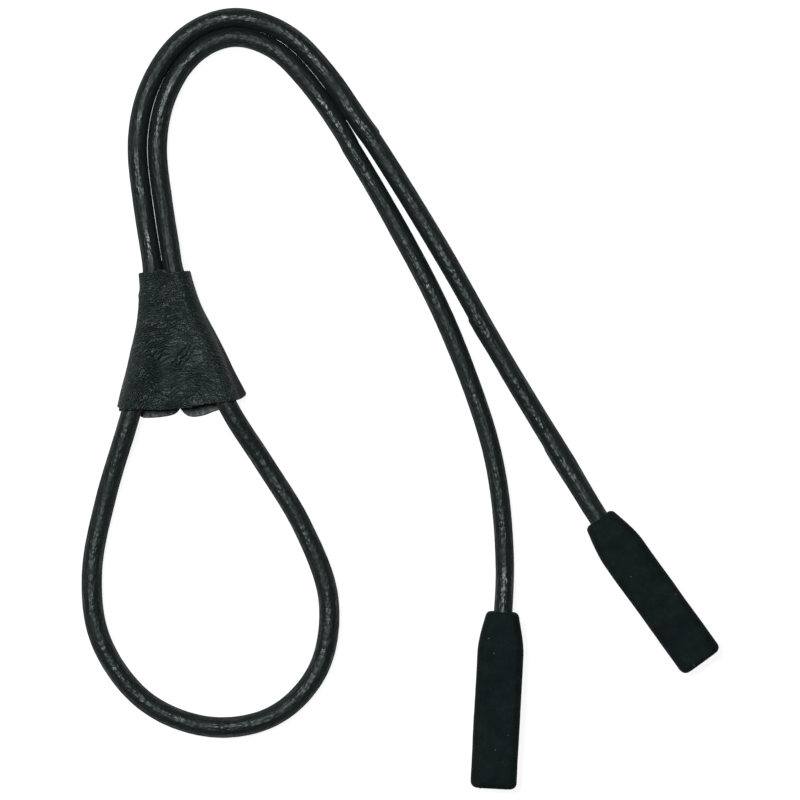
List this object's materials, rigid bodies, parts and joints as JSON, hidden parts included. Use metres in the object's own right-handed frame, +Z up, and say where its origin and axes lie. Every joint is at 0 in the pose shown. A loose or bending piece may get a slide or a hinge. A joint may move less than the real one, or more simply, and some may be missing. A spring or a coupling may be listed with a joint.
{
  "type": "eyeglass retainer strap",
  "caption": "Round leather cord retainer for eyeglasses, with a folded leather slider that gathers its middle into a loop and a soft socketed temple grip on each end.",
  "frame": {"origin": "on the surface the strap lies on, under the middle of the box that holds the slider and the two grips", "axes": "+Z up from the surface, +Y from the loop towards the bend of the cord, +X from the loop towards the outer arm"},
  "size_m": [0.1303, 0.1598, 0.0072],
  "materials": {
    "cord_leather": "near-black smooth leather with a pebbled, slightly waxy shine",
    "slider_leather": "near-black fine-grained matte nappa",
    "silicone": "near-black very matte moulded silicone",
    "nickel": "nickel-plated thin brass"
  },
  "bodies": {
    "strap": {"cord_loop": "cord_leather", "cord_inner_bend": "cord_leather", "cord_outer_bend": "cord_leather"},
    "slider": {"slider_leather": "slider_leather"},
    "inner_arm": {"cord_inner_arm": "cord_leather", "inner_ferrule": "nickel"},
    "outer_arm": {"cord_outer_arm": "cord_leather", "outer_ferrule": "nickel"},
    "inner_sleeve": {"inner_grip": "silicone"},
    "outer_sleeve": {"outer_grip": "silicone"}
  },
  "joints": [
    {"name": "slider_slide", "type": "slide", "parent": "strap", "child": "slider", "axis": [-0.1267, 0.9919, 0], "range_m": [-0.025, 0.018], "deforming": ["cord_loop", "cord_inner_bend", "cord_outer_bend"]},
    {"name": "inner_arm_flex", "type": "hinge", "parent": "strap", "child": "inner_arm", "pos_m": [-0.014, 0.0788, 0.002], "axis": [0, 0, 1], "range_deg": [-12, 0], "deforming": ["cord_inner_arm"]},
    {"name": "outer_arm_flex", "type": "hinge", "parent": "strap", "child": "outer_arm", "pos_m": [-0.009, 0.0794, 0.002], "axis": [0, 0, 1], "range_deg": [0, 40], "deforming": ["cord_outer_arm"]},
    {"name": "inner_grip_twist", "type": "hinge", "parent": "inner_arm", "child": "inner_sleeve", "pos_m": [0.0174, -0.0172, 0.0036], "axis": [-0.0541, -0.9985, 0], "range_deg": [-90, 90]},
    {"name": "outer_grip_twist", "type": "hinge", "parent": "outer_arm", "child": "outer_sleeve", "pos_m": [0.0373, 0.0019, 0.0036], "axis": [0.5864, -0.81, 0], "range_deg": [-90, 90]}
  ]
}
